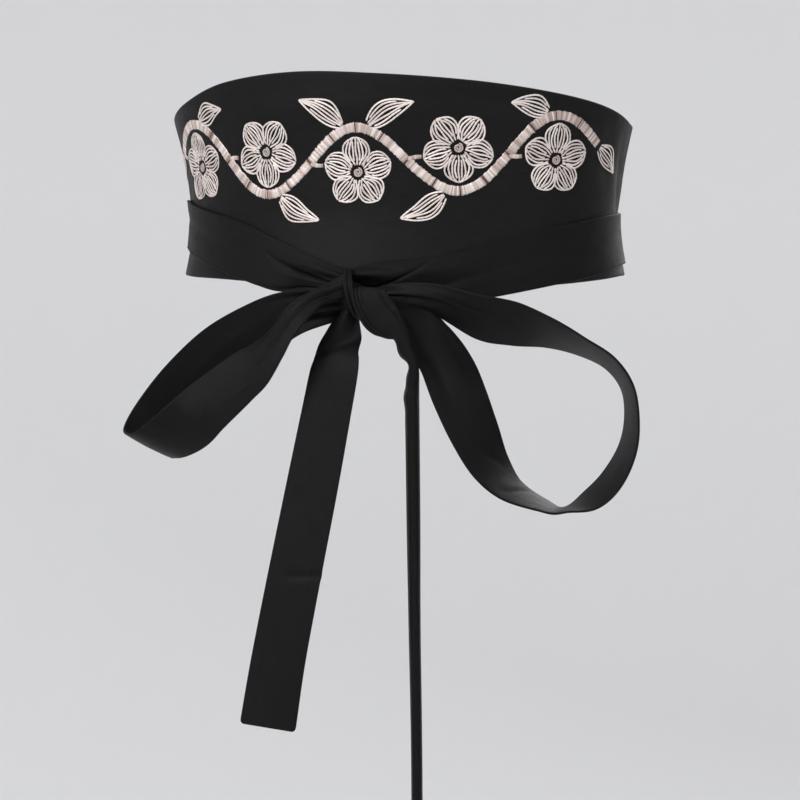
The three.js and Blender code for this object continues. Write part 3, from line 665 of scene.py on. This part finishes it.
loop_left = ribbon(
    "bow_loop_left_cloth", LOOP_LEFT,
    [(0.16, 0.12, 1), (0.52, 0.10, 0.9), (0.86, 0.09, 1)],
    [(0.60, 0.34, 1.5)], 0.0008,
    [(0.027, 0.004, 0.107, 0.001, 0.0011, 0.0034), (-0.013, -0.0080, 0.077, -0.0100, -0.0036, 0.0055),
     (0.212, -0.006, 0.269, -0.010, -0.0007, 0.0030),
     (0.242, 0.002, 0.337, -0.006, 0.0016, 0.0026), (0.269, 0.011, 0.337, 0.005, 0.0009, 0.0020),
     (0.132, -0.012, 0.157, 0.010, 0.0007, 0.0040)],
)
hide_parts("bow_loop_left")
loop_right = ribbon(
    "bow_loop_right_cloth", LOOP_RIGHT,
    [(0.30, 0.22, 0.8), (0.70, 0.10, 0.5)],
    [(0.20, 0.20, 1.2)], 0.0008,
    [(0.286, -0.012, 0.302, 0.013, 0.0010, 0.0022), (0.310, -0.010, 0.332, 0.006, 0.0006, 0.0030),
     (0.345, 0.006, 0.450, 0.009, 0.0016, 0.0048), (0.360, -0.006, 0.410, -0.003, -0.0006, 0.0040),
     (0.022, 0.010, 0.095, 0.002, 0.0006, 0.0018), (-0.030, 0.0150, 0.062, 0.0165, 0.0040, 0.0050),
     (0.382, -0.0145, 0.450, -0.0135, -0.0014, 0.0030)],
)
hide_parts("bow_loop_right")

# ---- tails ----
# The two free ends. The left one hangs nearly flat and shows its closed end; the right one has folded
# lengthwise and hangs as a narrow cord of cloth.
TAIL_CORNER = 0.0026
FOLD_CLOSED = 0.008  # how deep the right tail's fold is where its two edges meet
FOLD_STEP_ACROSS = 0.0005
RUFFLE, RUFFLE_PLACE, RUFFLE_REACH = 0.0009, 0.064, 0.020

# the same columns as the loops
TAIL_LEFT = np.array([
    (0.0018, -0.1165, -0.0600, 0, -14, 0.0080, 1.2), (0.0003, -0.1173, -0.0676, 0, -12, 0.0125, 1.2),
    (-0.0026, -0.1185, -0.0770, -3, 8, 0.0225, 1),
    (-0.0057, -0.1225, -0.0880, -5, 16, 0.0296, 0.4), (-0.0065, -0.1260, -0.1000, -6, 17, 0.0340, 0),
    (-0.0100, -0.1300, -0.1240, -8, 14, 0.0340, 0), (-0.0170, -0.1360, -0.1680, -8, 9, 0.0340, 0),
    (-0.0260, -0.1430, -0.2220, -9, 6, 0.0340, 0), (-0.0340, -0.1480, -0.2700, -9, 3, 0.0340, 0),
    (-0.0392, -0.1522, -0.3092, -9, -4, 0.0340, 0),
])
# x, y, z, lean, turn, width, how far the folded middle stands in front of the edges
TAIL_RIGHT = np.array([
    (0.0135, -0.1180, -0.0560, -3, -14, 0.0165, 0.0010), (0.0140, -0.1235, -0.0524, -3, -14, 0.0180, 0.0012),
    (0.0150, -0.1280, -0.0527, -3, -14, 0.0195, 0.0016), (0.0179, -0.1293, -0.0595, 12, -16, 0.0210, 0.0018),
    (0.0232, -0.1287, -0.0675, 17, -15, 0.0218, 0.0024), (0.0287, -0.1268, -0.0722, 10, -15, 0.0175, 0.0038),
    (0.0337, -0.1239, -0.0772, 8, -15, 0.0100, 0.0060), (0.0364, -0.1222, -0.0860, 16, -15, 0.0080, 0.0075),
    (0.0398, -0.1213, -0.0930, 6, -16, 0.0058, 0.0080), (0.0409, -0.1200, -0.1010, 0, -16, 0.0054, 0.0090),
    (0.0386, -0.1165, -0.1110, 0, -16, 0.0078, 0.0130), (0.0388, -0.1155, -0.1280, 0, -16, 0.0072, 0.0140),
    (0.0401, -0.1175, -0.1900, 0, -16, 0.0068, 0.0140), (0.0415, -0.1201, -0.2500, 0, -16, 0.0058, 0.0145),
    (0.0434, -0.1226, -0.3180, 0, -16, 0.0053, 0.0150), (0.0444, -0.1246, -0.3850, 0, -16, 0.0053, 0.0150),
])

tail_left = ribbon(
    "tail_left_cloth", TAIL_LEFT,
    [(0.34, 0.30, 1.5)],
    [(0.5, 0.3, 1)], 0.0004,
    [(0.167, -0.006, 0.161, 0.024, 0.0009, 0.0020), (0.034, -0.019, 0.016, 0.019, 0.0022, 0.0040)],
    corner=TAIL_CORNER,
)
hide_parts("tail_left")

# The right tail is flat at its root, and closes into a fold: across it, the cloth goes from a straight
# line to half an ellipse with flat sides. A ruffle runs along one edge where it closes.
s, centre, across, normal, rest = carried(TAIL_RIGHT)
v = (edged(TIE_WIDTH, FOLD_STEP_ACROSS, TIE_WALL) / TIE_WIDTH)[None, :]
side, deep = np.cos(np.pi * v), np.sin(np.pi * v)
closed = np.clip(rest[:, 1:2] / FOLD_CLOSED, 0, 1) ** 0.7
opened = (v - 0.5) * (1 - closed) - np.sign(side) * np.sqrt(np.abs(side)) / 2 * closed
near = np.exp(-(((s[:, None] - RUFFLE_PLACE) / RUFFLE_REACH) ** 2))
ruffle = RUFFLE * np.sin(s[:, None] * 420) * near * (1 - v)
sunk = rest[:, 1:2] * np.sqrt(np.abs(deep))
tail_lines = [
    (-0.020, -0.0132, 0.062, -0.0118, 0.0024, 0.0014), (-0.020, -0.0098, 0.056, -0.0086, 0.0019, 0.0014),
    (-0.016, -0.0115, 0.058, -0.0102, -0.0008, 0.0010), (0.004, -0.0040, 0.052, -0.0060, 0.0008, 0.0020),
    (0.012, 0.0100, 0.052, 0.0070, 0.0010, 0.0022),
    (0.045, -0.0034, 0.230, -0.0022, 0.0011, 0.0009), (0.150, -0.0028, 0.380, -0.0036, 0.0011, 0.0008),
    (0.060, 0.0036, 0.300, 0.0030, 0.0009, 0.0010), (0.240, 0.0024, 0.380, 0.0034, 0.0009, 0.0009),
]
sunk = sunk + creased(s[:, None], (v - 0.5) * TIE_WIDTH, tail_lines)
spread = rest[:, :1] * opened + ruffle
folded = centre[:, None] + across[:, None] * spread[..., None] + normal[:, None] * sunk[..., None]
from_end = np.minimum(s, s[-1] - s)[:, None]
half = np.minimum(tie_thickness(v, TIE_WIDTH + 0 * s[:, None]), half_round(from_end, TIE_WALL))
tail_right = cloth("tail_right_cloth", folded, half, s[:, None], (v - 0.5) * TIE_WIDTH)
tail_right.data.materials.append(tie_satin_painted_shade)
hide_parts("tail_right")
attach(tail_right, "root")

# ---- knot ----
# Where the ties are pulled together. A narrow gathered stretch of tie comes over its top, down its front
# and goes under. The rest is packed behind that in a lump, narrower at its top, which leans to the left.
# Its satin is painted darker than the ties' as painted shade, for the hollow it lies in, and shows less
# sheen.

# the same columns as the loops
KNOT_BAND = np.array([
    (-0.0027, -0.1085, -0.0392, 4, -16, 0.0046, 0), (0.0002, -0.1195, -0.0407, 4, -16, 0.0050, 0.2),
    (0.0022, -0.1268, -0.0452, 0, -16, 0.0056, 0.3), (0.0035, -0.1290, -0.0510, -4, -16, 0.0056, 0.4),
    (0.0049, -0.1292, -0.0567, 8, -18, 0.0054, 0.4), (0.0064, -0.1275, -0.0620, 18, -20, 0.0052, 0.4),
    (0.0076, -0.1235, -0.0662, 26, -20, 0.0048, 0.4), (0.0086, -0.1170, -0.0680, 30, -20, 0.0044, 0.3),
])
KNOT_CENTRE = np.array([0.0070, -0.1170, -0.0558])
KNOT_HALF = np.array([0.0135, 0.0095, 0.0124])
KNOT_PACKED = 0.97
KNOT_TOP_NARROWED = 0.55
KNOT_TOP_SHIFT = np.array([-0.0100, 0.0015, 0])
BAND_FOLDS = [(0.25, 0.16, 0.6), (0.75, 0.16, 0.6)]

knot_band = ribbon(
    "knot_band_cloth", KNOT_BAND, BAND_FOLDS, BAND_FOLDS, 0.0009,
    [(-0.004, 0.0030, 0.060, -0.0060, 0.0014, 0.0030), (-0.004, 0.0110, 0.040, 0.0060, 0.0006, 0.0022)],
    fold_depth=0.0012,
)
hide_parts("knot_band")

# The lump is an ellipsoid with low lumps and grooves, whose upper half narrows and shifts by the sine of
# its height.
turn = np.linspace(0, 2 * np.pi, 161)[:-1]
rise = np.linspace(-np.pi / 2, np.pi / 2, 91)[1:-1, None]
lumps = 1 + 0.03 * np.sin(5 * turn + 2 * np.sin(2 * rise)) * np.cos(rise)
lumps = lumps - 0.05 * np.abs(np.sin(4.5 * rise + 0.8 * np.sin(turn + 1))) ** 8 * np.cos(rise)
ball = np.stack([np.cos(rise) * np.cos(turn), np.cos(rise) * np.sin(turn), np.sin(rise) + 0 * turn], -1)
packed = KNOT_HALF * KNOT_PACKED
upper = np.clip(np.sin(rise), 0, 1)
ball = ball * packed * lumps[..., None]
ball[..., 0] = ball[..., 0] * (1 - KNOT_TOP_NARROWED * upper)
ball = KNOT_CENTRE + ball + KNOT_TOP_SHIFT * upper[..., None]
poles = [KNOT_CENTRE - packed * [0, 0, 1], KNOT_CENTRE + packed * [0, 0, 1] + KNOT_TOP_SHIFT]
index = np.arange(ball.shape[0] * ball.shape[1]).reshape(ball.shape[:2])
rolled = np.roll(index, -1, axis=1)
sides = np.stack([index[:-1], rolled[:-1], rolled[1:], index[1:]], -1).reshape(-1, 4).tolist()
bottom, top = index.size, index.size + 1
caps = [(bottom, b, a) for a, b in zip(index[0].tolist(), rolled[0].tolist())]
caps += [(top, a, b) for a, b in zip(index[-1].tolist(), rolled[-1].tolist())]
mesh = bpy.data.meshes.new("knot_cloth")
mesh.from_pydata(np.concatenate([ball.reshape(-1, 3), poles]), [], sides + caps)
flat = np.stack(np.broadcast_arrays(turn * KNOT_HALF[0], rise * KNOT_HALF[2]), -1).reshape(-1, 2)
flat = np.concatenate([flat, [[0, -0.02], [0, 0.02]]])
corner = np.zeros(len(mesh.loops), np.int32)
mesh.loops.foreach_get("vertex_index", corner)
mesh.uv_layers.new(name="cloth").data.foreach_set("uv", flat[corner].astype(np.float32).ravel())
mesh.shade_smooth()
knot = bpy.data.objects.new("knot_cloth", mesh)
bpy.context.scene.collection.objects.link(knot)
# The lump's satin is much darker than the ties': painted shade, not a different cloth.
knot_satin_painted_shade = satin("knot_satin_painted_shade", (0.0016, 0.0016, 0.0017, 1), (0.0036, 0.0036, 0.0038, 1), 0.55, 0.003)
knot.data.materials.append(knot_satin_painted_shade)
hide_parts("knot")
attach(knot, "root")

# ---- studio ----
# A pale floor that curves up into a round wall, and four soft lights inside it. None of it is part of
# the sash, which hangs where a wearer's waist would hold it.
FLOOR_DROP = 1.05
FLOOR_RADIUS = 3.6
WALL_RADIUS = 5.0
WALL_HEIGHT = 6.0
COVE = 1.4

bend = np.linspace(0, np.pi / 2, 14)[1:]
flat = np.linspace(0.02, FLOOR_RADIUS, 12)
radius = np.concatenate([flat, FLOOR_RADIUS + COVE * np.sin(bend), [WALL_RADIUS]])
height = np.concatenate([0 * flat, COVE - COVE * np.cos(bend), [WALL_HEIGHT]]) - FLOOR_DROP
radius, height = radius[:, None], height[:, None]
around = np.linspace(0, 2 * np.pi, 97)[:-1]
bowl = np.stack([radius * np.cos(around), radius * np.sin(around), height + 0 * around], -1)
index = np.arange(bowl.shape[0] * bowl.shape[1]).reshape(bowl.shape[:2])
rolled = np.roll(index, -1, axis=1)
sides = np.stack([index[:-1], rolled[:-1], rolled[1:], index[1:]], -1).reshape(-1, 4)[:, ::-1]
mesh = bpy.data.meshes.new("studio_floor")
mesh.from_pydata(bowl.reshape(-1, 3), [], sides.tolist() + [index[0].tolist()])
mesh.shade_smooth()
floor = bpy.data.objects.new("studio_floor", mesh)
bpy.context.scene.collection.objects.link(floor)
paper = bpy.data.materials.new("studio_paper")
paper.use_nodes = True
paper.node_tree.nodes["Principled BSDF"].inputs["Base Color"].default_value = (0.80, 0.80, 0.81, 1)
paper.node_tree.nodes["Principled BSDF"].inputs["Roughness"].default_value = 0.9
floor.data.materials.append(paper)


def soft_light(name, place, size, watts):
    """A square soft box at a place, aimed at the middle of the sash."""
    light = bpy.data.lights.new(name, "AREA")
    light.size = size
    light.energy = watts
    holder = bpy.data.objects.new(name, light)
    holder.location = place
    holder.rotation_euler = (Vector((0, 0, -0.1)) - Vector(place)).to_track_quat("-Z", "Y").to_euler()
    bpy.context.scene.collection.objects.link(holder)


soft_light("key_light", (-1.4, -2.7, 1.9), 1.3, 105)
soft_light("fill_light", (2.6, -2.2, 0.9), 2.2, 28)
soft_light("top_light", (0.2, 0.3, 2.8), 2.4, 48)
soft_light("back_light", (0.6, 2.9, 1.5), 2.4, 48)
world = bpy.data.worlds.new("studio_air")
world.use_nodes = True
world.node_tree.nodes["Background"].inputs["Color"].default_value = (0.93, 0.94, 0.96, 1)
world.node_tree.nodes["Background"].inputs["Strength"].default_value = 0.34
bpy.context.scene.world = world
bpy.context.scene.view_settings.view_transform = "Standard"

# ---- camera ----
# It stands two metres away and looks level, from a little to the wearer's left of centre front. At the
# waist it sees half a metre across.
CAMERA_TURN = math.radians(16)
CAMERA_DISTANCE = 2.0
CAMERA_SIDE = -0.0018
CAMERA_HEIGHT = -0.1166
SENSOR = 36
VIEW_WIDTH = 0.504

camera = bpy.data.objects.new("camera", bpy.data.cameras.new("camera"))
camera.data.sensor_width = SENSOR
camera.data.lens = SENSOR * CAMERA_DISTANCE / VIEW_WIDTH
right = Vector((math.cos(CAMERA_TURN), math.sin(CAMERA_TURN), 0))
away = Vector((-math.sin(CAMERA_TURN), math.cos(CAMERA_TURN), 0))
camera.location = right * CAMERA_SIDE - away * CAMERA_DISTANCE + Vector((0, 0, CAMERA_HEIGHT))
camera.rotation_euler = away.to_track_quat("-Z", "Y").to_euler()
bpy.context.scene.collection.objects.link(camera)
bpy.context.scene.camera = camera
